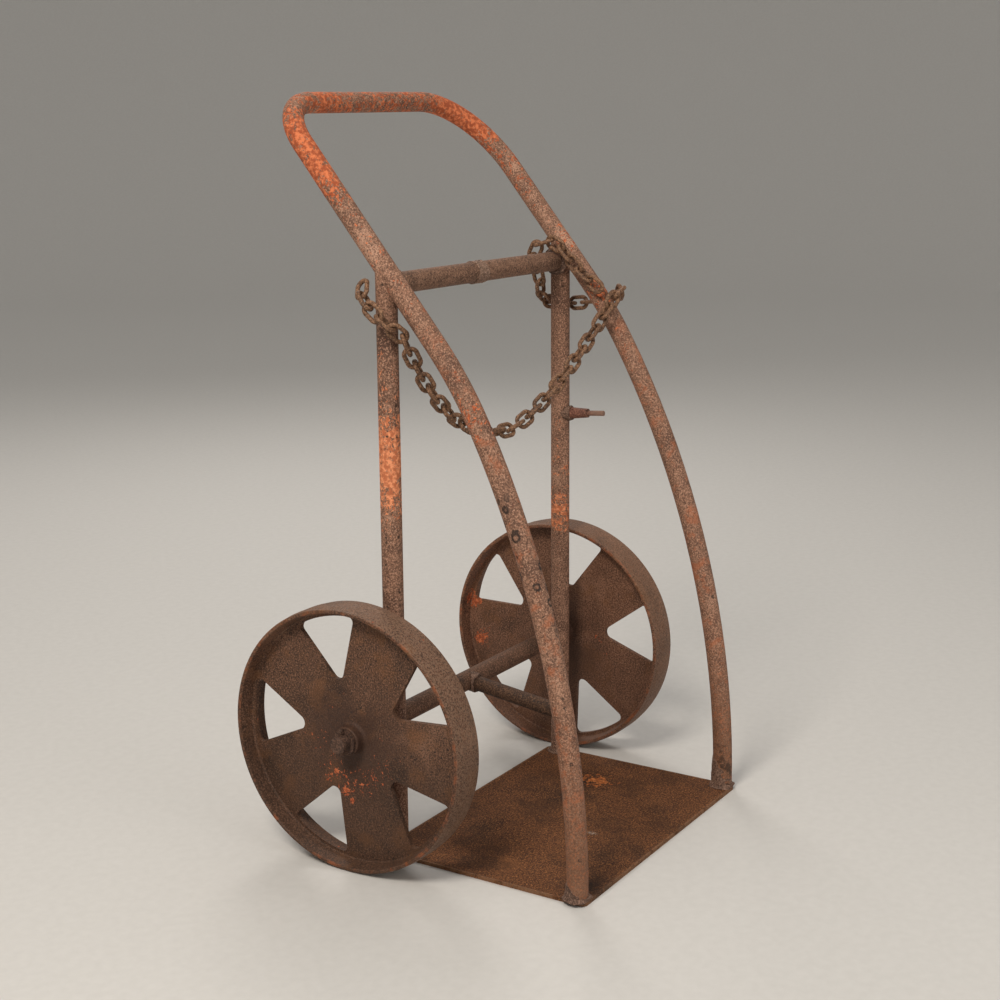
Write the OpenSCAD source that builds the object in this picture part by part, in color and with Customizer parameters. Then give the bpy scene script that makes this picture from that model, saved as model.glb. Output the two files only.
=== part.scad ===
// Twin gas-bottle trolley: welded steel pipe frame, two cast wheels and a bottle chain.
// +Z is up, the bottles stand at the front (-Y), and +X is to the right seen from the front.
// The origin is on the floor, in the middle of the trolley's outline.

/* [Pipework] */
// Outside diameter of the frame pipe (one inch steel pipe)
pipe_d = 33.7; // [30:0.1:36]
// Wall thickness of the frame pipe
pipe_wall = 2.6; // [2.2:0.1:2.7]
// Distance between the centres of the two side pipes
frame_w = 528; // [480:1:560]

/* [Base plate] */
// Width of the base plate
plate_w = 550; // [540:1:600]
// Depth of the base plate from front to back
plate_depth = 385; // [370:1:400]
// Thickness of the base plate
plate_t = 6; // [5:0.5:8]
// Radius of the plate's worn corners
plate_corner_r = 9; // [4:1:14]

/* [Side pipes and handle] */
// Distance from the plate's front edge to the centre of a side pipe's foot
foot_setback = 19; // [18:0.1:30]
// Lean of a side pipe where it stands on the plate, in degrees from upright
lean_foot = -0.3; // [-1:0.05:1]
// Lean of the left side pipe where its wide bend meets its tighter bend
lean_middle_left = 27; // [25:0.5:29]
// Lean of the right side pipe where its wide bend meets its tighter bend
lean_middle_right = 30; // [28:0.5:31]
// Lean of both side pipes along their straight upper part
lean_top = 39.1; // [38:0.1:40]
// Radius of the wide lower bend
lower_bend_r = 1568; // [1540:2:1590]
// Radius of the tighter upper bend of the left side pipe
upper_bend_left_r = 666; // [640:2:700]
// Radius of the tighter upper bend of the right side pipe
upper_bend_right_r = 744; // [720:2:760]
// Height of the middle of the handle bar
handle_h = 1204; // [1160:1:1240]
// Bend radius at the left end of the handle bar
handle_bend_left = 78; // [60:1:120]
// Bend radius at the right end of the handle bar
handle_bend_right = 150; // [90:1:190]

/* [Uprights, crossbar and divider] */
// Distance from the plate's back edge to the centre of an upright
upright_inset = 30; // [28:1:45]
// Height of the centre of the crossbar
crossbar_h = 930; // [900:1:935]
// Diameter of the bar that keeps the two bottles apart
divider_d = 26; // [20:1:30]
// Length of the divider bar
divider_l = 178; // [120:1:200]
// Droop of the divider bar towards its front end, in degrees
divider_droop = 7.6; // [0:0.2:10]
// Height of the hose peg on the right upright
peg_h = 655; // [600:1:700]
// Length of the hose peg
peg_l = 73; // [50:1:80]

/* [Wheels and axle] */
// Diameter of a wheel
wheel_d = 435; // [420:1:450]
// Width of a wheel's rim
wheel_w = 63; // [50:1:66]
// Distance between the outer faces of the two wheels
track_w = 723; // [715:1:760]
// Diameter of the axle rod
axle_d = 28; // [24:0.1:28.2]
// Overall length of the axle rod
axle_l = 754; // [750:1:790]
// Diameter of a wheel's hub
hub_d = 47; // [44:1:60]
// Number of openings in a wheel's disc
window_count = 5; // [4:1:5]

/* [Chain] */
// Diameter of the chain's wire
wire_d = 7.2; // [6:0.1:7.4]
// Distance from one link to the next
link_pitch = 25; // [24.5:0.1:25.2]
// Height of the lowest point of the hanging chain
chain_low_h = 676; // [650:1:700]

/* [Hidden] */
$fn = 64;

rust_pink = [0.42, 0.30, 0.26];
rust_brown = [0.30, 0.20, 0.15];
rust_dark = [0.22, 0.15, 0.12];
weld_brown = [0.36, 0.27, 0.22];
chain_tan = [0.45, 0.33, 0.23];

gap = 0.3;
pipe_r = pipe_d / 2;
side_x = frame_w / 2;

// Distances back from the plate's front edge, and the shift that centres the outline on the origin
upright_back = plate_depth - upright_inset;
axle_back = upright_back + pipe_d + gap;
wheel_r = wheel_d / 2;
overall_depth = axle_back + wheel_r;
front_y = -overall_depth / 2;
upright_y = front_y + upright_back;
axle_y = front_y + axle_back;
foot_y = front_y + foot_setback;

// The side pipe's centre line as points [y, z] where its shape changes
function lean_dir(a) = [sin(a), cos(a)];
function lean_side(a) = [cos(a), -sin(a)];
function lean_middle(side) = side < 0 ? lean_middle_left : lean_middle_right;
function upper_bend_r(side) = side < 0 ? upper_bend_left_r : upper_bend_right_r;
lower_centre = [foot_y, plate_t] + lean_side(lean_foot) * lower_bend_r;
function bend_middle(side) = lower_centre - lean_side(lean_middle(side)) * lower_bend_r;
function upper_centre(side) = bend_middle(side) + lean_side(lean_middle(side)) * upper_bend_r(side);
function bend_end(side) = upper_centre(side) - lean_side(lean_top) * upper_bend_r(side);

// Distance back of a side pipe's straight upper part at height z
function upper_run_y(side, z) = bend_end(side)[0] + (z - bend_end(side)[1]) * tan(lean_top);
function upright_top(side) = bend_end(side)[1] + (upright_y - bend_end(side)[0]) / tan(lean_top) - 1.2;
run_seam = 0.05;
seam = 0.002;
core_l = 10;

// How far past its foot a side pipe's bend is drawn, in degrees, before it is cut level on the plate
foot_overrun = 0.5;

// The two upper parts lie a little out of line, so the handle is turned about their direction to meet both
function run_offset(side) = bend_end(side) * lean_side(lean_top);
handle_offset = (run_offset(-1) + run_offset(1)) / 2;
handle_along = (handle_h + handle_offset * sin(lean_top)) / cos(lean_top);
handle_point = handle_offset * lean_side(lean_top) + handle_along * lean_dir(lean_top);
handle_turn = atan((run_offset(1) - run_offset(-1)) / frame_w);
handle_half = side_x / cos(handle_turn);
function run_l(side) = handle_along - bend_end(side) * lean_dir(lean_top);

// Crossbar, divider, peg and weld details
crossbar_end_x = side_x - pipe_r - gap;
bead_x = -13.5;
bead_l = 30;
bead_proud = 1.8;
peg_rise = 4;
peg_root_d = 24;
peg_stub_d = 16;
peg_stub_l = 41;
peg_tip_d = 9.5;
peg_weld_h = 8;
foot_weld = 7;
weld_bite = 3;
joint_weld = 8;
beam_weld_d = 26;
left_window_at = 32.5;
right_window_at = 8;

// Wheel details
web_x = (track_w - wheel_w) / 2;
web_t = 8;
rim_t = 8;
rim_root_t = 11;
crown = 1.6;
tread_flat = 30;
rim_chamfer = 1.5;
hub_l = 47;
hub_r = hub_d / 2;
hub_fillet = 7;
root_fillet = 3;
bore_r = axle_d / 2 + 0.08;
window_tip_r = 12.4;
window_corner_r = 9;
window_apex = 83;
window_half_angle = 28;
window_outer_r = wheel_r - 17.5;

// What sits along the axle outside each end of the axle beam
hub_in_x = web_x - hub_l / 2;
hub_out_x = web_x + hub_l / 2;
inner_washer_t = 2.5;
outer_washer_t = 4.5;
washer_d = 40;
beam_l = 2 * (hub_in_x - gap - inner_washer_t);
pin_d = 5;
pin_l = 40;
pin_head_d = 9;
pin_x = hub_out_x + gap + outer_washer_t + gap + pin_head_d / 2;
rod_chamfer = 2;

// Chain details: links turn 45 degrees to either side of the chain's line
link_play = 1.6;
link_inner_l = link_pitch + link_play;
link_inner_w = wire_d * 1.75;
link_mid_r = (link_inner_w + wire_d) / 2;
wrap_r = pipe_r + link_mid_r * sqrt(0.5) + wire_d / 2 + 2.5;

// ---- pipe shapes -------------------------------------------------------------------------

// Section of a pipe, or of a solid bar when there is no wall
module section(d, wall) {
    difference() {
        circle(d = d);
        if (wall > 0) circle(d = d - 2 * wall);
    }
}

// Straight pipe along +Z from the origin
module straight(d, wall, l) {
    linear_extrude(l) section(d, wall);
}

// Bent pipe about +Z, from +X turning towards +Y
module bent(d, wall, r, angle) {
    rotate_extrude(angle = angle, $fn = 128)
        translate([r, 0])
            section(d, wall);
}

// Pipe along +X, centred at height z above the floor and at y
module across(d, wall, l, y, z) {
    translate([-l / 2, y, z])
        rotate([0, 90, 0])
            straight(d, wall, l);
}

// A straight stretch of a side pipe from p [y, z], leaning back by angle a
module side_straight(x, p, a, l, d, wall) {
    translate([x, p[0], p[1]])
        rotate([-a, 0, 0])
            straight(d, wall, l);
}

// A bend of a side pipe about c [y, z], from lean a0 to lean a1
module side_bend(x, c, r, a0, a1, wall) {
    translate([x, c[0], c[1]])
        rotate([90, 0, 90])
            rotate([0, 0, 180 - a1])
                bent(pipe_d, wall, r, a1 - a0);
}

// The lower bend of a side pipe, cut level where it stands on the plate
module lower_bend(side) {
    difference() {
        side_bend(side * side_x, lower_centre, lower_bend_r, lean_foot - foot_overrun,
            lean_middle(side) - seam, pipe_wall);
        translate([side * side_x - pipe_d, foot_y - pipe_d, -pipe_d])
            cube([2 * pipe_d, 2 * pipe_d, plate_t + pipe_d]);
    }
}

module upper_bend(side) {
    side_bend(side * side_x, upper_centre(side), upper_bend_r(side), lean_middle(side) + seam, lean_top,
        pipe_wall);
}

// A short core inside the pipe that joins two bends across their hairline seam
module core(x, p, a) {
    side_straight(x, p - lean_dir(a) * core_l / 2, a, core_l, pipe_d - pipe_wall, 0);
}

module side_pipe(side) {
    lower_bend(side);
    upper_bend(side);
    core(side * side_x, bend_middle(side), lean_middle(side));
    core(side * side_x, bend_end(side), lean_top);
}

// The solid space that a side pipe's straight upper part takes up, for fitting other pipes against it
module side_run_space(side) {
    side_straight(side * side_x, bend_end(side), lean_top, run_l(side) / 2, pipe_d, 0);
}

// The handle: a straight run up each side, two bends and the bar, in the plane that leans back
module handle() {
    translate([0, handle_point[0], handle_point[1]])
        rotate([-lean_top, 0, 0])
            rotate([0, 0, handle_turn]) {
                handle_side(-1, handle_bend_left);
                handle_side(1, handle_bend_right);
                translate([-handle_half + handle_bend_left, 0, 0])
                    rotate([0, 90, 0])
                        straight(pipe_d, pipe_wall, 2 * handle_half - handle_bend_left - handle_bend_right);
            }
}

// One run and bend of the handle; side is -1 for the left and 1 for the right
module handle_side(side, r) {
    translate([side * handle_half, 0, -run_l(side) + run_seam])
        straight(pipe_d, pipe_wall, run_l(side) - run_seam - r);
    translate([side * (handle_half - r), 0, -r])
        rotate([90, 0, 0])
            rotate([0, 0, side > 0 ? 0 : 90])
                bent(pipe_d, pipe_wall, r, 90);
}

// ---- frame -------------------------------------------------------------------------------

module base_plate() {
    color(rust_brown)
        translate([-plate_w / 2, front_y, 0])
            linear_extrude(plate_t)
                rounded_rect(plate_w, plate_depth, plate_corner_r);
}

module rounded_rect(w, l, r) {
    difference() {
        square([w, l]);
        for (x = [0, 1], y = [0, 1])
            translate([x * w, y * l])
                mirror([x, 0])
                    mirror([0, y])
                        corner_waste(r);
    }
}

// What rounding takes off a square corner at the origin
module corner_waste(r) {
    difference() {
        translate([-1, -1]) square(r + 1);
        translate([r, r]) circle(r);
    }
}

module bent_pipe_frame() {
    color(rust_pink) {
        side_pipe(-1);
        side_pipe(1);
        handle();
    }
}

// An upright stands on the plate and is notched to fit under the side pipe
module upright(side) {
    color(rust_pink)
        difference() {
            translate([side * side_x, upright_y, plate_t])
                straight(pipe_d, pipe_wall, upright_top(side) - plate_t);
            side_run_space(side);
        }
}

module left_upright() {
    upright(-1);
}

module right_upright() {
    upright(1);
}

module upright_space(x) {
    translate([x, upright_y, 0])
        straight(pipe_d, 0, crossbar_h + pipe_d);
}

module crossbar() {
    color(rust_pink)
        across(pipe_d, pipe_wall, 2 * crossbar_end_x, upright_y, crossbar_h);
}

module crossbar_repair_bead() {
    color(weld_brown)
        translate([bead_x, 0, 0])
            difference() {
                across(pipe_d + 2 * bead_proud, 0, bead_l, upright_y, crossbar_h);
                across(pipe_d, 0, 2 * bead_l, upright_y, crossbar_h);
            }
}

module axle_beam() {
    color(rust_pink)
        across(pipe_d, pipe_wall, beam_l, axle_y, wheel_r);
}

module axle_rod() {
    color(rust_dark)
        difference() {
            intersection() {
                across(axle_d, 0, axle_l, axle_y, wheel_r);
                translate([0, axle_y, wheel_r])
                    rotate([0, 90, 0])
                        rod_ends();
            }
            for (side = [-1, 1]) pin_hole(side);
        }
}

// A long double cone that takes a narrow chamfer off both ends of the axle rod
module rod_ends() {
    cone_l = axle_l / 2 + axle_d / 2 - rod_chamfer;
    for (flip = [0, 1])
        mirror([0, 0, flip])
            cylinder(h = cone_l, r1 = cone_l, r2 = 0);
}

module pin_hole(side) {
    translate([side * pin_x, axle_y, wheel_r - axle_d])
        cylinder(h = 2 * axle_d, d = pin_d + 0.1);
}

// The divider points forward from the axle beam and droops towards its front end
module bottle_divider() {
    color(rust_brown)
        difference() {
            divider_line() straight(divider_d, 0, divider_l + pipe_r);
            across(pipe_d, 0, 4 * divider_d, axle_y, wheel_r);
        }
}

module divider_line() {
    translate([0, axle_y, wheel_r])
        rotate([90 + divider_droop, 0, 0])
            children();
}

// The peg is a thick stub with a thinner round tip
module hose_peg() {
    color(rust_brown)
        difference() {
            translate([side_x, upright_y, peg_h])
                rotate([90 - peg_rise, 0, 0]) {
                    cylinder(h = pipe_r + peg_stub_l, d1 = peg_root_d, d2 = peg_stub_d);
                    cylinder(h = pipe_r + peg_l, d = peg_tip_d);
                }
            upright_space(side_x);
        }
}

// ---- welds -------------------------------------------------------------------------------

// A weld ring with a rounded back round a pipe that stands on a flat face at the origin
module ring_weld(d, leg) {
    rotate_extrude()
        difference() {
            translate([d / 2 - weld_bite, 0]) square([leg + weld_bite, leg]);
            translate([d / 2 + leg, leg]) circle(leg * 0.8);
        }
}

module side_pipe_foot_welds() {
    color(weld_brown)
        for (x = [-side_x, side_x])
            difference() {
                translate([x, foot_y, plate_t]) ring_weld(pipe_d, foot_weld);
                side_bend(x, lower_centre, lower_bend_r, lean_foot - foot_overrun, lean_foot + 1, 0);
                translate([x - pipe_d, front_y - pipe_d, 0]) cube([2 * pipe_d, pipe_d, 2 * pipe_d]);
            }
}

module upright_foot_welds() {
    color(weld_brown)
        for (x = [-side_x, side_x])
            difference() {
                translate([x, upright_y, plate_t]) ring_weld(pipe_d, foot_weld);
                upright_space(x);
            }
}

module crossbar_welds() {
    color(weld_brown)
        for (side = [-1, 1])
            translate([side * crossbar_end_x, upright_y, crossbar_h])
                rotate([0, -90 * side, 0])
                    difference() {
                        ring_weld(pipe_d, joint_weld);
                        translate([0, 0, -1]) cylinder(h = 3 * joint_weld, d = pipe_d);
                    }
}

// Beads in the grooves above and below, where the axle beam lies against the uprights
module axle_beam_welds() {
    color(weld_brown)
        for (x = [-side_x, side_x], up = [-1, 1])
            difference() {
                translate([x, (upright_y + axle_y) / 2, wheel_r + up * pipe_r * 0.62])
                    sphere(d = beam_weld_d);
                upright_space(x);
                translate([x, 0, 0]) across(pipe_d, 0, 2 * pipe_d, axle_y, wheel_r);
            }
}

module divider_weld() {
    color(weld_brown)
        difference() {
            divider_line() straight(divider_d + joint_weld, 0, pipe_r + joint_weld / 2);
            divider_line() straight(divider_d, 0, divider_l);
            across(pipe_d, 0, 4 * divider_d, axle_y, wheel_r);
        }
}

module peg_weld() {
    color(weld_brown)
        difference() {
            translate([side_x, upright_y, peg_h])
                rotate([90 - peg_rise, 0, 0])
                    cylinder(h = pipe_r + peg_weld_h, d1 = peg_root_d + 8, d2 = peg_root_d + 2);
            upright_space(side_x);
            translate([side_x, upright_y, peg_h])
                rotate([90 - peg_rise, 0, 0])
                    cylinder(h = pipe_r + peg_stub_l, d1 = peg_root_d, d2 = peg_stub_d);
        }
}

// ---- wheels ------------------------------------------------------------------------------

// Half of a wheel's section as [radius, offset along the axle]
module half_section() {
    difference() {
        polygon([
            [bore_r, 0],
            [bore_r, hub_l / 2 - rim_chamfer],
            [bore_r + rim_chamfer, hub_l / 2],
            [hub_r - rim_chamfer, hub_l / 2],
            [hub_r, hub_l / 2 - rim_chamfer],
            [hub_r, web_t / 2 + hub_fillet],
            [hub_r + hub_fillet, web_t / 2 + hub_fillet],
            [hub_r + hub_fillet, web_t / 2],
            [wheel_r - rim_root_t - root_fillet, web_t / 2],
            [wheel_r - rim_root_t - root_fillet, web_t / 2 + root_fillet],
            [wheel_r - rim_root_t, web_t / 2 + root_fillet],
            [wheel_r - rim_t, wheel_w / 2 - rim_chamfer],
            [wheel_r - rim_t + rim_chamfer, wheel_w / 2],
            [wheel_r - crown - rim_chamfer, wheel_w / 2],
            [wheel_r - crown, wheel_w / 2 - rim_chamfer],
            [wheel_r, tread_flat / 2],
            [wheel_r, 0]
        ]);
        translate([hub_r + hub_fillet, web_t / 2 + hub_fillet]) circle(hub_fillet);
        translate([wheel_r - rim_root_t - root_fillet, web_t / 2 + root_fillet]) circle(root_fillet);
    }
}

module wheel_solid() {
    rotate_extrude($fn = 160) {
        half_section();
        mirror([0, 1]) half_section();
    }
}

// Distance along a window's side, from its apex, to a point at radius r from the wheel's centre
function along_side(apex, r) =
    sqrt(r * r - pow(apex * sin(window_half_angle), 2)) - apex * cos(window_half_angle);

// One window: a rounded tip towards the hub and two rounded corners at the rim
module window_shape() {
    tip_x = window_apex + window_tip_r / sin(window_half_angle);
    corner_apex = window_apex + window_corner_r / sin(window_half_angle);
    s = along_side(corner_apex, window_outer_r - window_corner_r);
    corner = [corner_apex + s * cos(window_half_angle), s * sin(window_half_angle)];
    out = corner * window_outer_r / norm(corner);
    side = [-sin(window_half_angle), cos(window_half_angle)];
    tip_touch = [tip_x, 0] + side * window_tip_r;
    corner_touch = corner + side * window_corner_r;
    translate([tip_x, 0]) circle(window_tip_r);
    for (m = [0, 1])
        mirror([0, m])
            translate(corner) circle(window_corner_r);
    intersection() {
        circle(window_outer_r, $fn = 160);
        polygon([
            tip_touch, corner_touch, corner, out * 1.1,
            flip(out) * 1.1, flip(corner), flip(corner_touch), flip(tip_touch)
        ]);
    }
}

function flip(p) = [p[0], -p[1]];

// A wheel about its own centre, with its axis along X and its first window at an angle up from the front
module wheel(window_at) {
    color(rust_dark)
        rotate([0, 90, 0])
            difference() {
                wheel_solid();
                for (i = [0:window_count - 1])
                    rotate([0, 0, i * 360 / window_count - 90 - window_at])
                        translate([0, 0, -web_t])
                            linear_extrude(2 * web_t) window_shape();
            }
}

module left_wheel() {
    translate([-web_x, axle_y, wheel_r]) wheel(left_window_at);
}

module right_wheel() {
    translate([web_x, axle_y, wheel_r]) wheel(right_window_at);
}

// A washer round the axle rod with its inner face at x
module washer(x, d, t) {
    color(rust_brown)
        translate([x, axle_y, wheel_r])
            rotate([0, 90, 0])
                difference() {
                    cylinder(h = t, d = d);
                    translate([0, 0, -1]) cylinder(h = t + 2, d = axle_d + 2 * gap);
                }
}

module left_outer_washer() {
    washer(-hub_out_x - gap - outer_washer_t, washer_d, outer_washer_t);
}

module right_outer_washer() {
    washer(hub_out_x + gap, washer_d, outer_washer_t);
}

module left_inner_washer() {
    washer(-hub_in_x + gap, washer_d, inner_washer_t);
}

module right_inner_washer() {
    washer(hub_in_x - gap - inner_washer_t, washer_d, inner_washer_t);
}

// A split pin through the axle rod, with its eye on top
module split_pin(side) {
    color(rust_brown)
        translate([side * pin_x, axle_y, wheel_r]) {
            translate([0, 0, -pin_l / 2]) cylinder(h = pin_l, d = pin_d);
            translate([0, 0, pin_l / 2])
                rotate([90, 0, 0])
                    cylinder(h = pin_d, d = pin_head_d, center = true);
        }
}

module left_split_pin() {
    split_pin(-1);
}

module right_split_pin() {
    split_pin(1);
}

// ---- chain -------------------------------------------------------------------------------

// A chain link along X from the origin, with its centre half a pitch away
module link() {
    straight_l = link_inner_l - link_inner_w;
    translate([link_pitch / 2, 0, 0]) {
        for (m = [0, 1])
            mirror([m, 0, 0])
                translate([straight_l / 2, 0, 0])
                    rotate([0, 0, -90])
                        rotate_extrude(angle = 180, $fn = 48)
                            translate([link_mid_r, 0]) circle(d = wire_d, $fn = 24);
        for (m = [0, 1])
            mirror([0, m, 0])
                translate([-straight_l / 2, link_mid_r, 0])
                    rotate([0, 90, 0])
                        cylinder(h = straight_l, d = wire_d, $fn = 24);
    }
}

function unit(v) = v / norm(v);

// One link from point a towards point b, with its width along w
module link_between(a, b, w) {
    d = unit(b - a);
    level = unit([-d[1], d[0], 0]);
    translate(a)
        rotate([0, -asin(d[2]), atan2(d[1], d[0])])
            rotate([atan2(w * cross(d, level), w * level), 0, 0])
                link();
}

// The width directions of a run of links: each is square to the last one, and then twisted a little
function widths(points, w, twist, i = 0) = i >= len(points) - 1 ? [] : let (
    d = unit(points[i + 1] - points[i]),
    square = unit(cross(d, w)),
    turned = cos(twist) * square + sin(twist) * cross(d, square)
) concat([turned], widths(points, turned, twist, i + 1));

// Where the line from a to b leaves the sphere of one pitch round p, as a share of a to b
function leave(p, a, b) = let (
    d = b - a,
    e = a - p,
    h = (d * e) * (d * e) - (d * d) * (e * e - link_pitch * link_pitch)
) h < 0 ? 2 : (sqrt(h) - d * e) / (d * d);

// The points one pitch apart along a path of points, from p on the stretch that starts at point i
function stations(path, p, i) = i >= len(path) - 1 ? [p] : let (s = leave(p, path[i], path[i + 1]))
    s >= 0 && s <= 1
        ? concat([p], stations(path, path[i] + s * (path[i + 1] - path[i]), i))
        : stations(path, p, i + 1);

module links(points, directions) {
    color(chain_tan)
        for (i = [0:len(points) - 2])
            link_between(points[i], points[i + 1], directions[i]);
}

// The chain's holds: in front of the left upright, and in front of the right side pipe
left_wrap_r = wrap_r + 8;
right_wrap_r = wrap_r + 7;
hold_a_turn = 15;
hold_b_axis_z = 858;
hold_a = [-side_x - left_wrap_r * sin(hold_a_turn), upright_y - left_wrap_r * cos(hold_a_turn)];
hold_b = [side_x, upper_run_y(1, hold_b_axis_z) - right_wrap_r * cos(lean_top)];
span_l = norm(hold_b - hold_a);

// The hanging span sags more in its left flank, and stiff, rusty joints keep its right flank nearly straight
left_hold_h = 851.5;
right_hold_h = 884;
chain_low_share = 0.448;
left_sag = 2.5;
right_sag = 1.45;
span_steps = 120;
span_count = 26;
span_twist = 1;
function span_h(s) = chain_low_h + (s < chain_low_share
    ? (left_hold_h - chain_low_h) * pow(1 - s / chain_low_share, left_sag)
    : (right_hold_h - chain_low_h) * pow((s - chain_low_share) / (1 - chain_low_share), right_sag));
function span_point(s) = let (p = hold_a + s * (hold_b - hold_a)) [p[0], p[1], span_h(s)];
span_path = [for (i = [0:span_steps - 1]) span_point(i / span_steps)];

// Points round the pipes. A turn runs from a pipe's front to its outer side, or from the crossbar's back
// to its top.
function by_left_upright(turn, z) = [
    -side_x - left_wrap_r * sin(turn),
    upright_y - left_wrap_r * cos(turn),
    z
];
function by_right_upright(turn, z) = [
    side_x + right_wrap_r * sin(turn),
    upright_y - right_wrap_r * cos(turn),
    z
];
function by_side_pipe(turn, z) = [
    side_x + right_wrap_r * sin(turn),
    upper_run_y(1, z) - right_wrap_r * cos(turn) * cos(lean_top),
    z + right_wrap_r * cos(turn) * sin(lean_top)
];
function by_crossbar(turn, x) = [
    x,
    upright_y + right_wrap_r * cos(turn),
    crossbar_h + right_wrap_r * sin(turn)
];

left_end_turn = 190;
left_end_slope = 0.54;
left_end_path = [
    for (turn = [hold_a_turn:5:left_end_turn])
        by_left_upright(turn, span_h(0) + left_end_slope * (turn - hold_a_turn))
];

// The loop runs round the outer sides of the side pipe and upright, over the crossbar and back to the front
loop_path = concat(
    [for (turn = [10:10:90]) by_side_pipe(turn, hold_b_axis_z + 2)],
    [for (turn = [90:10:180]) by_right_upright(turn, 850 + pow((turn - 90) / 32, 2))],
    [by_right_upright(205, 880), by_right_upright(222, 900)],
    [for (turn = [20:10:120]) by_crossbar(turn, 224)],
    [by_side_pipe(-70, 905), by_side_pipe(-60, 885), by_side_pipe(-50, 868)]
);

// The chain is one run of joints from the left hold on, and a second short run back from it
joints = stations(concat(span_path, loop_path), span_path[0], 0);
span_joints = [for (i = [0:span_count]) joints[i]];
loop_joints = [for (i = [span_count:len(joints) - 1]) joints[i]];
left_joints = stations(left_end_path, span_path[0], 0);
first_d = unit(joints[1] - joints[0]);
first_level = unit([-first_d[1], first_d[0], 0]);
first_w = unit(first_level + cross(first_d, first_level));
span_widths = widths(span_joints, cross(first_w, first_d), span_twist);

module chain_span() {
    links(span_joints, span_widths);
}

module chain_left_end() {
    links(left_joints, widths(left_joints, span_widths[0], 0));
}

module chain_right_loop() {
    links(loop_joints, widths(loop_joints, span_widths[span_count - 1], 0));
}

base_plate();
bent_pipe_frame();
left_upright();
right_upright();
crossbar();
crossbar_repair_bead();
axle_beam();
axle_rod();
bottle_divider();
hose_peg();
left_wheel();
right_wheel();
left_outer_washer();
right_outer_washer();
left_inner_washer();
right_inner_washer();
left_split_pin();
right_split_pin();
chain_span();
chain_left_end();
chain_right_loop();
side_pipe_foot_welds();
upright_foot_welds();
crossbar_welds();
axle_beam_welds();
divider_weld();
peg_weld();
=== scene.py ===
import math

import bmesh
import bpy
from mathutils import Matrix, Vector, noise


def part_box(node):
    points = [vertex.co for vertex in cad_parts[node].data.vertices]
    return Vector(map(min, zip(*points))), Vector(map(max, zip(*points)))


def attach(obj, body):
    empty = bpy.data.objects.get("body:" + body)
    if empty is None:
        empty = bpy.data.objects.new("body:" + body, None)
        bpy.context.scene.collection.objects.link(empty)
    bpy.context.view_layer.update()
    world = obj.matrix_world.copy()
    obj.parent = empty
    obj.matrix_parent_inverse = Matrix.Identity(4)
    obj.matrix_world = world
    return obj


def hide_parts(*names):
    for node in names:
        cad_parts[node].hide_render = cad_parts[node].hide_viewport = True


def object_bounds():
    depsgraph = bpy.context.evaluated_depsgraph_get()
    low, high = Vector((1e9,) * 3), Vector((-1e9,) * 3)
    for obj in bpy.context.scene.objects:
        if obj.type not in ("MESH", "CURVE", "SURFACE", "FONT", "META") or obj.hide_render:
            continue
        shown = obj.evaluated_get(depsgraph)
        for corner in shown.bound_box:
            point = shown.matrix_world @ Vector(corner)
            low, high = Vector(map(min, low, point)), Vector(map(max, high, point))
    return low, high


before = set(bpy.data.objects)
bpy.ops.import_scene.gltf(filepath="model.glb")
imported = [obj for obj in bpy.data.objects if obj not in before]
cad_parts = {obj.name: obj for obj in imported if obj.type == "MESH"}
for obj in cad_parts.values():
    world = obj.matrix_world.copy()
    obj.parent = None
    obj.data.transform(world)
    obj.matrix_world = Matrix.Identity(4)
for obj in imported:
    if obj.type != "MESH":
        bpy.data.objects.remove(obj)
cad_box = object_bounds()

MM = 0.001

# ---- where the frame's pieces are ------------------------------------------------------------


def middle(node):
    """The middle of a CAD node's box."""
    low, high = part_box(node)
    return (Vector(low) + Vector(high)) / 2


def size(node):
    """The size of a CAD node's box."""
    low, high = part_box(node)
    return Vector(high) - Vector(low)


LEFT_WHEEL = middle("left_wheel")
RIGHT_WHEEL = middle("right_wheel")
WHEEL_R = size("left_wheel").z / 2
WHEEL_HALF_W = size("left_wheel").x / 2
PIPE_R = size("left_upright").x / 2
LEFT_SIDE_X = middle("left_upright").x
RIGHT_SIDE_X = middle("right_upright").x
UPRIGHT_Y = middle("left_upright").y
FOOT_Y = middle("side_pipe_foot_welds").y
CROSSBAR_H = middle("crossbar").z
HANDLE_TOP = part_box("bent_pipe_frame")[1][2]
PLATE_LOW, PLATE_HIGH = (Vector(corner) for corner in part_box("base_plate"))
PLATE_TOP = PLATE_HIGH.z

# ---- node materials --------------------------------------------------------------------------

# The heights of a relief's low and high places, and the roughness that they have on most rust
ROUGHNESS_HEIGHTS = (0.4, 0.9)
PIPE_ROUGHNESS = (0.62, 0.92)


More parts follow.
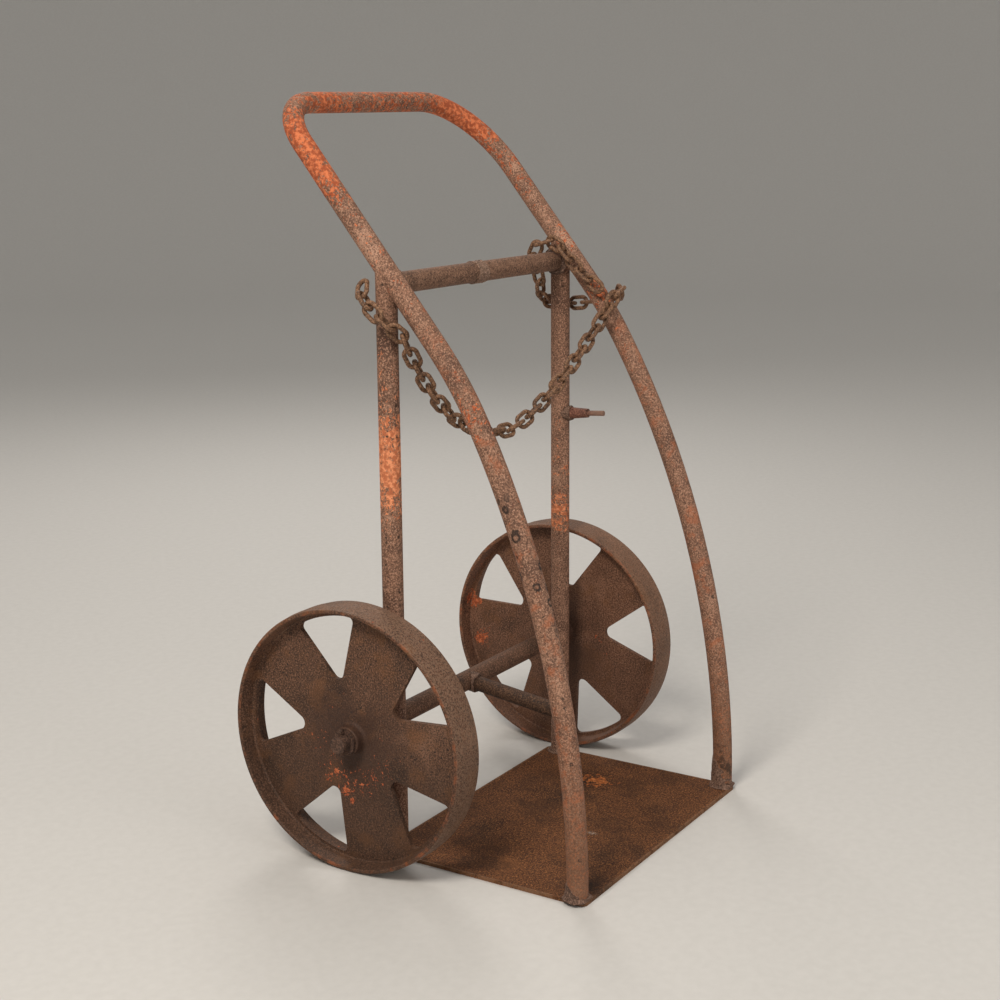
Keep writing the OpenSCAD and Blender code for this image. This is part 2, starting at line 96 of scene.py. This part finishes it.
class Look:
    """A node material under construction. Inputs may be numbers, colours or sockets."""

    def __init__(self, name):
        self.material = bpy.data.materials.new(name)
        self.material.use_nodes = True
        self.tree = self.material.node_tree
        self.tree.nodes.clear()
        self.shader = self.node("ShaderNodeBsdfPrincipled")
        output = self.node("ShaderNodeOutputMaterial")
        self.tree.links.new(self.shader.outputs[0], output.inputs[0])
        self.place = self.node("ShaderNodeTexCoord").outputs["Object"]
        split = self.node("ShaderNodeSeparateXYZ")
        self.put(split.inputs[0], self.place)
        self.x, self.y, self.z = split.outputs

    def node(self, kind, **settings):
        made = self.tree.nodes.new(kind)
        for key, value in settings.items():
            setattr(made, key, value)
        return made

    def put(self, socket, value):
        if isinstance(value, bpy.types.NodeSocket):
            self.tree.links.new(value, socket)
        elif isinstance(value, (tuple, list)) and len(value) == 3 and socket.type == "RGBA":
            socket.default_value = (*value, 1)
        else:
            socket.default_value = value

    def maths(self, operation, a, b=0.0):
        made = self.node("ShaderNodeMath", operation=operation)
        self.put(made.inputs[0], a)
        self.put(made.inputs[1], b)
        return made.outputs[0]

    def plus(self, a, b):
        return self.maths("ADD", a, b)

    def minus(self, a, b):
        return self.maths("SUBTRACT", a, b)

    def times(self, a, b):
        return self.maths("MULTIPLY", a, b)

    def joined(self, operation, values):
        """Several values brought together by one operation."""
        found = values[0]
        for value in values[1:]:
            found = self.maths(operation, found, value)
        return found

    def most(self, values):
        return self.joined("MAXIMUM", values)

    def least(self, values):
        return self.joined("MINIMUM", values)

    def both(self, values):
        return self.joined("MULTIPLY", values)

    def spread(self, value, source, target, kind="LINEAR"):
        """A value moved from its source range to a target range, and kept inside that."""
        made = self.node("ShaderNodeMapRange", interpolation_type=kind)
        self.put(made.inputs["Value"], value)
        made.inputs["From Min"].default_value, made.inputs["From Max"].default_value = source
        made.inputs["To Min"].default_value, made.inputs["To Max"].default_value = target
        return made.outputs["Result"]

    def step(self, value, low, high):
        """0 below low, 1 above high and smooth between them; low may be above high."""
        target = (1.0, 0.0) if low > high else (0.0, 1.0)
        return self.spread(value, (min(low, high), max(low, high)), target, "SMOOTHSTEP")

    def noise(self, scale, detail=6.0, rough=0.6, seed=0.0):
        moved = self.node("ShaderNodeMapping")
        self.put(moved.inputs["Vector"], self.place)
        moved.inputs["Location"].default_value = (seed, seed * 0.7, -seed * 1.3)
        made = self.node("ShaderNodeTexNoise")
        self.put(made.inputs["Vector"], moved.outputs[0])
        made.inputs["Scale"].default_value = scale
        made.inputs["Detail"].default_value = detail
        made.inputs["Roughness"].default_value = rough
        return made.outputs["Fac"]

    def cells(self, scale):
        """Distance to the nearest of many scattered points, and a random value for each point."""
        made = self.node("ShaderNodeTexVoronoi")
        self.put(made.inputs["Vector"], self.place)
        made.inputs["Scale"].default_value = scale
        split = self.node("ShaderNodeSeparateColor")
        self.put(split.inputs[0], made.outputs["Color"])
        return made.outputs["Distance"], split.outputs[0]

    def mix(self, share, a, b):
        made = self.node("ShaderNodeMix", data_type="RGBA")
        self.put(made.inputs["Factor"], share)
        self.put(made.inputs["A"], a)
        self.put(made.inputs["B"], b)
        return made.outputs["Result"]

    def stain(self, colour, mask, strength, other):
        """A colour with another laid over it where the mask is."""
        return self.mix(self.times(mask, strength), colour, other)

    def tones(self, value, stops):
        """Colours spread along a value, as (place, colour) stops."""
        made = self.node("ShaderNodeValToRGB")
        self.put(made.inputs[0], value)
        ramp = made.color_ramp
        while len(ramp.elements) < len(stops):
            ramp.elements.new(0.5)
        for element, (at, colour) in zip(ramp.elements, stops):
            element.position = at
            element.color = (*colour, 1)
        return made.outputs[0]

    def near(self, centre, radius, squash=(1, 1, 1)):
        """1 at a place on the object, fading to 0 at a radius; squash below 1 lengthens that axis."""
        moved = self.node("ShaderNodeVectorMath", operation="SUBTRACT")
        self.put(moved.inputs[0], self.place)
        moved.inputs[1].default_value = tuple(centre)
        scaled = self.node("ShaderNodeVectorMath", operation="MULTIPLY")
        self.put(scaled.inputs[0], moved.outputs[0])
        scaled.inputs[1].default_value = squash
        length = self.node("ShaderNodeVectorMath", operation="LENGTH")
        self.put(length.inputs[0], scaled.outputs[0])
        return self.step(length.outputs["Value"], radius, 0.0)

    def radius_from(self, axle):
        """Distance from the wheel's axis, which runs along X through axle."""
        y = self.minus(self.y, axle.y)
        z = self.minus(self.z, axle.z)
        return self.maths("SQRT", self.plus(self.times(y, y), self.times(z, z)))

    def finish(self, colour, height, depth, roughness=PIPE_ROUGHNESS, metallic=0.0):
        """The finished material, with a bump of depth mm; two roughnesses run from low to high places."""
        if isinstance(roughness, tuple):
            roughness = self.spread(height, ROUGHNESS_HEIGHTS, roughness)
        bump = self.node("ShaderNodeBump")
        bump.inputs["Strength"].default_value = 1.0
        bump.inputs["Distance"].default_value = depth * MM
        self.put(bump.inputs["Height"], height)
        self.put(self.shader.inputs["Base Color"], colour)
        self.put(self.shader.inputs["Roughness"], roughness)
        self.put(self.shader.inputs["Normal"], bump.outputs[0])
        self.shader.inputs["Metallic"].default_value = metallic
        self.shader.inputs["Specular IOR Level"].default_value = 0.35
        return self.material


# Paint, from deep to bright, and the colours that stain the rust, with pale colours for painted highlights on
# the wheel rims and the plate's edge
ORANGE = (0.34, 0.078, 0.030), (0.68, 0.195, 0.078)
PEACH = (0.50, 0.150, 0.065), (0.85, 0.330, 0.160)
SCRAPED_ORANGE = (0.36, 0.095, 0.022), (0.62, 0.210, 0.060)
SOOT = (0.012, 0.008, 0.006)
HUB_DARK = (0.052, 0.026, 0.018)
WET_BROWN = (0.160, 0.076, 0.040)
RED_RUST = (0.40, 0.140, 0.060)
PAINT_SHADOW = (0.42, 0.120, 0.045)
OCHRE = (0.205, 0.086, 0.032)
TREAD_TAN = (0.285, 0.175, 0.115)
RIM_HIGHLIGHT = (0.34, 0.100, 0.036)
PLATE_SPARK = (0.50, 0.210, 0.070)
PLATE_SHADOW = (0.034, 0.015, 0.007)
PLATE_EDGE_HIGHLIGHT = (0.27, 0.145, 0.080)
CHALK = (0.50, 0.44, 0.37)
PEG_TIP = (0.38, 0.24, 0.175)

# Rust, as its dark, middle and light tones
PIPE_RUST = (0.085, 0.042, 0.028), (0.275, 0.143, 0.090), (0.540, 0.310, 0.210)
LEFT_IRON = (0.034, 0.018, 0.011), (0.135, 0.066, 0.039), (0.280, 0.148, 0.092)
RIGHT_IRON = (0.060, 0.030, 0.019), (0.225, 0.108, 0.064), (0.400, 0.205, 0.125)
PLATE_RUST = (0.034, 0.013, 0.006), (0.112, 0.041, 0.016), (0.240, 0.094, 0.034)
CHAIN_RUST = (0.055, 0.028, 0.016), (0.210, 0.108, 0.058), (0.400, 0.225, 0.130)
PEG_RUST = (0.060, 0.024, 0.017), (0.200, 0.078, 0.050), (0.330, 0.160, 0.110)
CROSSBAR_RUST = (0.065, 0.034, 0.022), (0.205, 0.108, 0.066), (0.370, 0.210, 0.138)
BEAM_RUST = (0.040, 0.021, 0.013), (0.138, 0.068, 0.040), (0.270, 0.142, 0.088)
DIVIDER_RUST = (0.018, 0.009, 0.005), (0.070, 0.033, 0.017), (0.170, 0.090, 0.052)
STEEL_RUST = (0.026, 0.015, 0.011), (0.085, 0.045, 0.031), (0.180, 0.100, 0.068)
WELD_RUST = (0.055, 0.030, 0.021), (0.175, 0.098, 0.066), (0.330, 0.200, 0.145)
PALE_WELD_RUST = (0.095, 0.055, 0.038), (0.250, 0.150, 0.103), (0.400, 0.265, 0.195)


def rust_base(look, rust, seed, blotches):
    """Mottled rust: broad tones, soft blotches and a strong fine grain. Returns its colour and its relief."""
    dark, body, light = rust
    broad = look.noise(9, 5, 0.55, seed)
    blotch = look.noise(48, 7, 0.66, seed + 3)
    grain = look.noise(380, 4, 0.62, seed + 7)
    dust = look.noise(900, 3, 0.6, seed + 17)
    colour = look.tones(broad, [(0.30, dark), (0.46, body), (0.60, body), (0.74, light)])
    colour = look.stain(colour, look.step(blotch, 0.50, 0.38), blotches, dark)
    colour = look.stain(colour, look.step(blotch, 0.54, 0.66), blotches, light)
    colour = look.stain(colour, look.step(grain, 0.49, 0.40), 0.80, dark)
    colour = look.stain(colour, look.step(grain, 0.52, 0.62), 0.80, light)
    colour = look.stain(colour, look.step(dust, 0.48, 0.40), 0.45, dark)
    return colour, look.plus(look.times(blotch, 0.8), look.times(grain, 0.5))


def chosen(look, chance, share):
    """1 for a share of scattered points."""
    return look.step(chance, 1 - share, 1.02 - share)


def pits(look, scale, share, radius=0.28):
    """Small round pits at a share of scattered points."""
    distance, chance = look.cells(scale)
    return look.both([look.step(distance, radius, radius * 0.45), chosen(look, chance, share)])


def ring_pits(look, scale, share):
    """Pits with a raised pale middle, so that they show as small dark rings."""
    distance, chance = look.cells(scale)
    wander = look.times(look.minus(look.noise(scale * 4, 4, 0.65, 40.0), 0.5), 0.34)
    distance = look.plus(distance, wander)
    inner = look.step(distance, 0.15, 0.22)
    outer = look.step(distance, 0.36, 0.30)
    return look.both([inner, outer, chosen(look, chance, share)])


def painted(look, colour, relief, coverage, seed, paint=ORANGE):
    """Old paint left in small ragged flakes, standing a little proud of the rust."""
    coarse = look.noise(75, 4, 0.6, seed + 11)
    fine = look.noise(260, 5, 0.66, seed + 13)
    ragged = look.plus(look.times(coarse, 0.45), look.times(fine, 0.55))
    lifted = look.plus(ragged, look.times(coverage, 0.30))
    mask = look.both([look.step(lifted, 0.635, 0.675), look.step(coverage, 0.02, 0.08)])
    tone = look.mix(look.step(look.noise(150, 4, 0.6, seed + 5), 0.42, 0.62), *paint)
    return look.mix(mask, colour, tone), look.plus(relief, look.times(mask, 0.3))


def patches(look, places):
    """Where paint has stayed: (how much, middle, radius) for each patch, all with soft edges."""
    return [look.times(look.near(at, radius), much) for much, at, radius in places]


def on_left_pipe(back, up):
    """A place on the outer face of the left pipes, in mm back from the uprights and up from the crossbar."""
    return Vector((LEFT_SIDE_X - PIPE_R, UPRIGHT_Y + back * MM, CROSSBAR_H + up * MM))


def on_right_pipe(back, up):
    """A place on the face of the right pipes that looks left, as on_left_pipe."""
    return Vector((RIGHT_SIDE_X - PIPE_R, UPRIGHT_Y + back * MM, CROSSBAR_H + up * MM))


def handle_coverage(look):
    """Paint is thick on the handle bar and its bends, and thins out down the side pipes."""
    crown = look.step(look.z, HANDLE_TOP - 150 * MM, HANDLE_TOP - 50 * MM)
    upper = look.step(look.z, HANDLE_TOP - 330 * MM, HANDLE_TOP - 110 * MM)
    thin = look.step(look.z, CROSSBAR_H - 330 * MM, CROSSBAR_H - 30 * MM)
    return look.most([
        look.times(crown, 0.46),
        look.times(upper, 0.34),
        look.times(thin, 0.20),
        *patches(look, [
            (0.80, on_left_pipe(138, 200), 0.190),
            (0.90, on_right_pipe(173, 255) + Vector((-47 * MM, 0, 0)), 0.170),
            (0.70, on_left_pipe(183, 270) + Vector((121 * MM, 0, 0)), 0.120),
            (0.55, on_right_pipe(-97, -40), 0.080),
            (0.50, on_right_pipe(-22, 45), 0.070),
            (0.42, on_left_pipe(-157, -190), 0.085),
        ]),
    ])


def frame_pipe_look():
    look = Look("rusty_pipe")
    colour, relief = rust_base(look, PIPE_RUST, 0.0, 0.4)
    # Towards the floor the rust is browner, with red grain and, on the right foot, black scale
    colour = look.stain(colour, look.step(look.z, 300 * MM, 40 * MM), 0.75, WET_BROWN)
    red_grain = look.step(look.noise(340, 4, 0.65, 12.0), 0.52, 0.60)
    red_grain = look.times(red_grain, look.step(look.z, 420 * MM, 100 * MM))
    colour = look.stain(colour, red_grain, 0.55, RED_RUST)
    shadow = look.step(look.noise(30, 8, 0.78, 33.0), 0.52, 0.60)
    shadow = look.times(shadow, look.step(look.z, 1000 * MM, 600 * MM))
    colour = look.stain(colour, shadow, 0.50, PAINT_SHADOW)
    scale = look.both([
        look.step(look.x, 0.0, 50 * MM),
        look.step(look.z, 160 * MM, 30 * MM),
        look.step(look.noise(60, 6, 0.7, 44.0), 0.50, 0.42),
    ])
    colour = look.stain(colour, scale, 0.70, SOOT)
    colour, relief = painted(look, colour, relief, handle_coverage(look), 0.0)
    # Ring pits cover the left side pipe at the height of its bend, and dark spots lie from there down
    on_left = look.step(look.x, LEFT_SIDE_X + 60 * MM, LEFT_SIDE_X + 30 * MM)
    ring_zone = look.both([
        on_left,
        look.step(look.z, 380 * MM, 460 * MM),
        look.step(look.z, 660 * MM, 600 * MM),
    ])
    low_zone = look.step(look.z, 620 * MM, 300 * MM)
    rings = look.times(ring_pits(look, 44, 0.85), ring_zone)
    ragged = look.step(look.noise(170, 4, 0.65, 23.0), 0.42, 0.55)
    spots = look.both([pits(look, 62, 0.20, 0.30), ragged, look.most([low_zone, ring_zone])])
    dark = look.most([rings, spots])
    colour = look.stain(colour, dark, 0.85, SOOT)
    return look.finish(colour, look.minus(relief, look.times(dark, 0.8)), 0.55)


def upright_look():
    look = Look("rusty_upright")
    colour, relief = rust_base(look, PIPE_RUST, 2.0, 0.4)
    tall_patch = look.near(on_left_pipe(0, -275), 0.150, (1, 1, 0.9))
    coverage = look.most([
        look.times(tall_patch, 0.75),
        *patches(look, [
            (0.30, on_left_pipe(0, -210), 0.260),
            (0.60, on_right_pipe(0, -455), 0.080),
            (0.30, on_right_pipe(0, -410), 0.200),
        ]),
    ])
    colour, relief = painted(look, colour, relief, coverage, 4.0, PEACH)
    dark = look.times(pits(look, 75, 0.22, 0.22), 0.8)
    colour = look.mix(dark, colour, SOOT)
    # The pits are as rough as the rust round them
    roughness = look.spread(relief, ROUGHNESS_HEIGHTS, PIPE_ROUGHNESS)
    return look.finish(colour, look.minus(relief, dark), 0.5, roughness)


def wheel_look(name, axle, rust, flecks, arc, seed):
    """Cast iron under rust: darkest round the hub, tan on the tread, orange painted highlights on the rim's
    edges.
    """
    look = Look(name)
    colour, relief = rust_base(look, rust, seed, 0.25)
    radius = look.radius_from(axle)
    specks = pits(look, 240, 0.55, 0.34)
    colour = look.stain(colour, specks, 0.70, SOOT)
    colour = look.stain(colour, look.step(look.noise(17, 7, 0.66, seed + 9), 0.52, 0.66), 0.42, OCHRE)
    holes = look.both([pits(look, 105, 0.30, 0.24), look.step(look.noise(13, 3, 0.5, seed + 6), 0.48, 0.58)])
    colour = look.stain(colour, holes, 0.85, SOOT)
    # Darker round the hub, in soft clouds
    cloud = look.step(look.noise(16, 4, 0.5, seed), 0.30, 0.55)
    colour = look.stain(colour, look.times(look.step(radius, 130 * MM, 35 * MM), cloud), 0.72, HUB_DARK)
    # Painted shade: the wheel is darker below its axle, as if lit from above
    colour = look.stain(colour, look.step(look.z, axle.z + 40 * MM, axle.z - 90 * MM), 0.40, rust[0])
    tread = look.step(radius, WHEEL_R - 2.6 * MM, WHEEL_R - 1.8 * MM)
    tan = look.times(tread, look.step(look.noise(350, 4, 0.65, seed + 30), 0.40, 0.60))
    colour = look.stain(colour, tan, 0.62, TREAD_TAN)
    # Painted highlight: orange lines along the rim's edges, where the edges catch the light
    across = look.maths("ABSOLUTE", look.minus(look.x, axle.x))
    rim_edge_highlight = look.both([
        look.step(across, WHEEL_HALF_W - 3 * MM, WHEEL_HALF_W - 0.6 * MM),
        look.step(radius, WHEEL_R - 16 * MM, WHEEL_R - 8 * MM),
        look.step(look.noise(46, 7, 0.74, seed + 1), 0.48, 0.64),
    ])
    colour = look.stain(colour, rim_edge_highlight, 0.60, RIM_HIGHLIGHT)
    band = look.step(look.maths("ABSOLUTE", look.minus(radius, 75 * MM)), 42 * MM, 8 * MM)
    spots = patches(look, [(0.62, at, fleck_radius) for at, fleck_radius in flecks])
    spots.append(look.both([band, look.near(*arc), 0.34]))
    colour, relief = painted(look, colour, relief, look.most(spots), seed)
    colour = look.stain(colour, pits(look, 70, 0.07, 0.16), 0.90, ORANGE[0])
    relief = look.minus(relief, look.times(look.most([specks, holes]), 0.55))
    return look.finish(colour, relief, 0.6, (0.55, 0.88), 0.1)


def wheel_fleck(wheel, forward, up, radius):
    """A fleck of paint on a wheel's left face, placed from its axle towards the front and upwards."""
    return wheel + Vector((-5 * MM, -forward, up)), radius


def left_wheel_look():
    flecks = [
        wheel_fleck(LEFT_WHEEL, -0.051, -0.075, 0.020),
        wheel_fleck(LEFT_WHEEL, -0.017, -0.096, 0.022),
        wheel_fleck(LEFT_WHEEL, -0.034, -0.062, 0.012),
        wheel_fleck(LEFT_WHEEL, -0.004, -0.107, 0.014),
        wheel_fleck(LEFT_WHEEL, 0.190, 0.062, 0.018),
    ]
    arc = (LEFT_WHEEL + Vector((0, 0, -60 * MM)), 0.170)
    return wheel_look("rusty_left_wheel", LEFT_WHEEL, LEFT_IRON, flecks, arc, 81.0)


def right_wheel_look():
    flecks = [
        wheel_fleck(RIGHT_WHEEL, -0.188, 0.125, 0.045),
        wheel_fleck(RIGHT_WHEEL, -0.198, 0.040, 0.040),
        wheel_fleck(RIGHT_WHEEL, -0.178, -0.036, 0.035),
    ]
    arc = (RIGHT_WHEEL + Vector((0, -150 * MM, 0)), 0.120)
    return wheel_look("rusty_right_wheel", RIGHT_WHEEL, RIGHT_IRON, flecks, arc, 91.0)


def on_plate(from_right, from_front):
    """A place on the plate's top, in mm from its right and front edges."""
    return Vector((PLATE_HIGH.x - from_right * MM, PLATE_LOW.y + from_front * MM, PLATE_TOP))


def plate_look():
    """Brown rust with bright sparks, dark stains, a painted highlight along its edge, one scrape of paint and
    a chalk tick.
    """
    look = Look("rusty_plate")
    colour, relief = rust_base(look, PLATE_RUST, 9.0, 0.25)
    grain = look.noise(320, 5, 0.75, 14.0)
    colour = look.stain(colour, look.step(grain, 0.54, 0.62), 0.70, PLATE_SPARK)
    colour = look.stain(colour, look.step(look.noise(11, 7, 0.68, 3.0), 0.52, 0.40), 0.40, PLATE_SHADOW)
    to_edge = look.least([
        look.minus(look.x, PLATE_LOW.x),
        look.minus(PLATE_HIGH.x, look.x),
        look.minus(look.y, PLATE_LOW.y),
        look.minus(PLATE_HIGH.y, look.y),
    ])
    # Painted highlight: a pale band along the plate's edge, where the edge would catch the light
    edge_highlight = look.times(look.step(to_edge, 5 * MM, 1 * MM), look.step(look.noise(60, 6, 0.7, 2.0), 0.36, 0.55))
    colour = look.stain(colour, edge_highlight, 0.55, PLATE_EDGE_HIGHLIGHT)
    wet = look.most([
        look.near(on_plate(125, 243), 0.075, (1, 1.4, 1)),
        look.near(on_plate(195, 233), 0.050),
        look.near(on_plate(494, 25), 0.075),
    ])
    wet = look.times(wet, look.step(look.noise(35, 7, 0.7, 6.0), 0.36, 0.5))
    colour = look.stain(colour, wet, 0.75, SOOT)
    scrape = look.times(look.near(on_plate(110, 225), 0.055, (1, 0.75, 1)), 0.62)
    colour, relief = painted(look, colour, relief, scrape, 8.0, SCRAPED_ORANGE)
    tick = look.near(on_plate(314, 118), 0.008, (1, 0.6, 1))
    tick = look.times(tick, look.step(look.noise(300, 4, 0.7, 1.0), 0.45, 0.55))
    colour = look.stain(colour, tick, 0.60, CHALK)
    return look.finish(colour, look.plus(relief, look.times(grain, 0.6)), 0.8, (0.70, 0.95))


def chain_look():
    look = Look("rusty_chain")
    colour, relief = rust_base(look, CHAIN_RUST, 21.0, 0.4)
    return look.finish(colour, relief, 0.3, (0.48, 0.80), 0.1)


def bar_look(name, rust, seed, depth=0.6):
    """Plain rust with dark pits, for bars, washers and welds."""
    look = Look(name)
    colour, relief = rust_base(look, rust, seed, 0.4)
    dots = pits(look, 130, 0.35)
    colour = look.stain(colour, dots, 0.70, SOOT)
    return look.finish(colour, look.minus(relief, look.times(dots, 0.5)), depth)


def peg_look():
    """Reddish rust that is rubbed pale towards the peg's tip."""
    look = Look("rusty_peg")
    colour, relief = rust_base(look, PEG_RUST, 31.0, 0.5)
    tip = look.step(look.y, middle("hose_peg").y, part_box("hose_peg")[0][1] + 12 * MM)
    colour = look.stain(colour, tip, 0.65, PEG_TIP)
    return look.finish(colour, relief, 0.5)


# ---- pieces ----------------------------------------------------------------------------------


def evaluated(piece):
    """Applies a piece's modifiers by taking the mesh that they make."""
    bpy.context.view_layer.update()
    made = bpy.data.meshes.new_from_object(piece.evaluated_get(bpy.context.evaluated_depsgraph_get()))
    made.name = piece.name
    piece.modifiers.clear()
    piece.data = made


def inside(place):
    """A point brought back inside the CAD model's box."""
    return Vector(min(max(v, low), high) for v, low, high in zip(place, *cad_box))


def lumpy(node, material, depth, grain, seed, voxel=1.2 * MM):
    """Replaces a CAD node with a rougher copy: remeshed, then pushed in and out by noise."""
    piece = bpy.data.objects.new("rough_" + node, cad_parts[node].data.copy())
    bpy.context.scene.collection.objects.link(piece)
    remesh = piece.modifiers.new("grid", "REMESH")
    remesh.mode = "VOXEL"
    remesh.voxel_size = voxel
    evaluated(piece)
    mesh = piece.data
    places = [v.co.copy() for v in mesh.vertices]
    normals = [v.normal.copy() for v in mesh.vertices]
    for vertex, place, normal in zip(mesh.vertices, places, normals):
        broad = noise.noise(place / grain + Vector((seed, 0, 0)))
        fine = noise.noise(place / (grain * 0.35) + Vector((0, seed, 0)))
        vertex.co = inside(place + normal * depth * (broad + 0.5 * fine))
        if place.z < PLATE_TOP + voxel:
            vertex.co.z = max(vertex.co.z, PLATE_TOP * 0.5)
    for face in mesh.polygons:
        face.use_smooth = True
    mesh.materials.clear()
    mesh.materials.append(material)
    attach(piece, "frame")
    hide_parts(node)


def rings_mesh(name, rings, close_top, material):
    """A mesh skinned over rings of points, closed at its first ring and, if wanted, at its last."""
    mesh = bmesh.new()
    loops = [[mesh.verts.new(point) for point in ring] for ring in rings]
    around = len(loops[0])
    for lower, upper in zip(loops, loops[1:]):
        for i in range(around):
            j = (i + 1) % around
            mesh.faces.new((lower[i], lower[j], upper[j], upper[i]))
    mesh.faces.new(reversed(loops[0]) if close_top else loops[0])
    if close_top:
        mesh.faces.new(loops[-1])
    data = bpy.data.meshes.new(name)
    mesh.to_mesh(data)
    mesh.free()
    for face in data.polygons:
        face.use_smooth = len(face.vertices) == 4
    data.materials.append(material)
    piece = bpy.data.objects.new(name, data)
    bpy.context.scene.collection.objects.link(piece)
    return piece


def scale_sleeve(name, x, top, thickness, seed, material):
    """Flaking scale round the foot of a side pipe: a ragged sleeve that thins out upwards."""
    around, rows, flake = 56, 30, 9 * MM
    flare, flare_height = 3.5 * MM, 5 * MM
    rings = []
    for row in range(rows + 1):
        climb = row / rows
        z = PLATE_TOP + (top - PLATE_TOP) * climb
        ring = []
        for i in range(around):
            turn = math.tau * i / around
            direction = Vector((math.cos(turn), math.sin(turn), 0))
            at = Vector((direction.x * 2 + seed, direction.y * 2 + seed, z / flake))
            rough = 0.55 + 0.75 * noise.noise(at) + 0.35 * noise.noise(at * 2.7)
            proud = thickness * (1 - climb ** 1.6) * rough - 0.8 * MM * climb
            proud += flare * math.exp(-(z - PLATE_TOP) / flare_height)
            ring.append(inside(Vector((x, FOOT_Y, z)) + direction * (PIPE_R + proud)))
        rings.append(ring)
    piece = rings_mesh(name, rings, True, material)
    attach(piece, "frame")


# ---- the trolley -----------------------------------------------------------------------------


def give(material, *nodes):
    """Puts a material on CAD nodes."""
    for node in nodes:
        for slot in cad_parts[node].material_slots:
            slot.material = material


def make_trolley():
    weld = bar_look("weld", WELD_RUST, 61.0, 0.7)
    pale_weld = bar_look("pale_weld", PALE_WELD_RUST, 71.0, 0.7)
    give(frame_pipe_look(), "bent_pipe_frame")
    give(upright_look(), "left_upright", "right_upright")
    give(bar_look("rusty_crossbar", CROSSBAR_RUST, 36.0), "crossbar")
    give(plate_look(), "base_plate")
    give(chain_look(), "chain_span", "chain_left_end", "chain_right_loop")
    give(peg_look(), "hose_peg")
    give(bar_look("rusty_bar", BEAM_RUST, 41.0), "axle_beam")
    give(bar_look("rusty_divider", DIVIDER_RUST, 45.0), "bottle_divider")
    steel = bar_look("rusty_steel", STEEL_RUST, 51.0, 0.3)
    give(steel, "axle_rod")
    for side in ("left", "right"):
        give(steel, side + "_outer_washer", side + "_inner_washer", side + "_split_pin")
    give(left_wheel_look(), "left_wheel")
    give(right_wheel_look(), "right_wheel")
    for joint in ("side_pipe_foot", "upright_foot", "crossbar", "axle_beam"):
        node = joint + "_welds"
        lumpy(node, weld, 1.6 * MM, 7 * MM, len(node))
    for node in ("divider_weld", "peg_weld"):
        lumpy(node, weld, 1.6 * MM, 7 * MM, len(node))
    lumpy("crossbar_repair_bead", pale_weld, 1.3 * MM, 6 * MM, 5)
    scale_sleeve("right_foot_scale", RIGHT_SIDE_X, 62 * MM, 3.4 * MM, 3.0, weld)
    scale_sleeve("left_foot_scale", LEFT_SIDE_X, 30 * MM, 2.2 * MM, 8.0, weld)


# ---- camera, floor and light -----------------------------------------------------------------

CAMERA_PLACE = Vector((-2.3357, -1.4498, 1.1652))
CAMERA_TURN = math.radians(57.88)
CAMERA_TILT = math.radians(12.62)
CAMERA_ROLL = math.radians(-0.43)
CAMERA_LENS = 60.3

LIGHT_AIM = Vector((0, 0, 0.5))
# Each light's name, place, width in metres, power in watts and colour
LIGHTS = [
    ("key", (-3.0, -0.4, 3.6), 1.4, 120, (1.0, 0.93, 0.84)),
    ("fill", (-0.6, -3.8, 1.8), 2.6, 35, (1.0, 0.97, 0.93)),
    ("rim", (2.4, 2.2, 3.0), 1.6, 40, (1.0, 0.95, 0.90)),
]


def make_camera():
    """The camera turns right from +Y, tilts down and rolls a little."""
    data = bpy.data.cameras.new("camera")
    data.lens = CAMERA_LENS
    data.sensor_width = 36
    camera = bpy.data.objects.new("camera", data)
    bpy.context.scene.collection.objects.link(camera)
    ahead = Vector((
        math.sin(CAMERA_TURN) * math.cos(CAMERA_TILT),
        math.cos(CAMERA_TURN) * math.cos(CAMERA_TILT),
        -math.sin(CAMERA_TILT),
    ))
    level = Vector((math.cos(CAMERA_TURN), -math.sin(CAMERA_TURN), 0))
    above = level.cross(ahead)
    right = math.cos(CAMERA_ROLL) * level + math.sin(CAMERA_ROLL) * above
    up = -math.sin(CAMERA_ROLL) * level + math.cos(CAMERA_ROLL) * above
    turn = Matrix((right, up, -ahead)).transposed().to_4x4()
    camera.matrix_world = Matrix.Translation(CAMERA_PLACE) @ turn
    bpy.context.scene.camera = camera


def make_floor():
    """A pale floor that curves up into a backdrop on all sides."""
    around, flat, bend, wall = 96, 9.0, 7.0, 14.0
    outline = [(flat * 0.4, 0.0), (flat, 0.0)]
    for degrees in range(3, 91, 3):
        turn = math.radians(degrees)
        outline.append((flat + bend * math.sin(turn), bend * (1 - math.cos(turn))))
    outline.append((flat + bend, wall))
    turns = [math.tau * i / around for i in range(around)]
    rings = [[(r * math.cos(turn), r * math.sin(turn), z) for turn in turns] for r, z in outline]
    look = Look("pale_floor")
    fleck = look.noise(60, 4, 0.5, 1.0)
    colour = look.tones(fleck, [(0.3, (0.62, 0.605, 0.58)), (0.7, (0.65, 0.635, 0.61))])
    material = look.finish(colour, look.noise(90, 4, 0.6, 2.0), 0.15, 0.75)
    rings_mesh("floor", rings, False, material)


def make_light():
    for name, place, width, power, colour in LIGHTS:
        data = bpy.data.lights.new(name, "AREA")
        data.shape = "DISK"
        data.size = width
        data.energy = power
        data.color = colour
        light = bpy.data.objects.new(name, data)
        light.location = place
        light.rotation_euler = (LIGHT_AIM - Vector(place)).to_track_quat("-Z", "Y").to_euler()
        bpy.context.scene.collection.objects.link(light)
    world = bpy.data.worlds.new("studio")
    world.use_nodes = True
    back = world.node_tree.nodes["Background"]
    back.inputs["Color"].default_value = (1.0, 0.98, 0.95, 1)
    back.inputs["Strength"].default_value = 0.5
    bpy.context.scene.world = world


make_trolley()
make_camera()
make_floor()
make_light()
bpy.context.scene.view_settings.view_transform = "Standard"
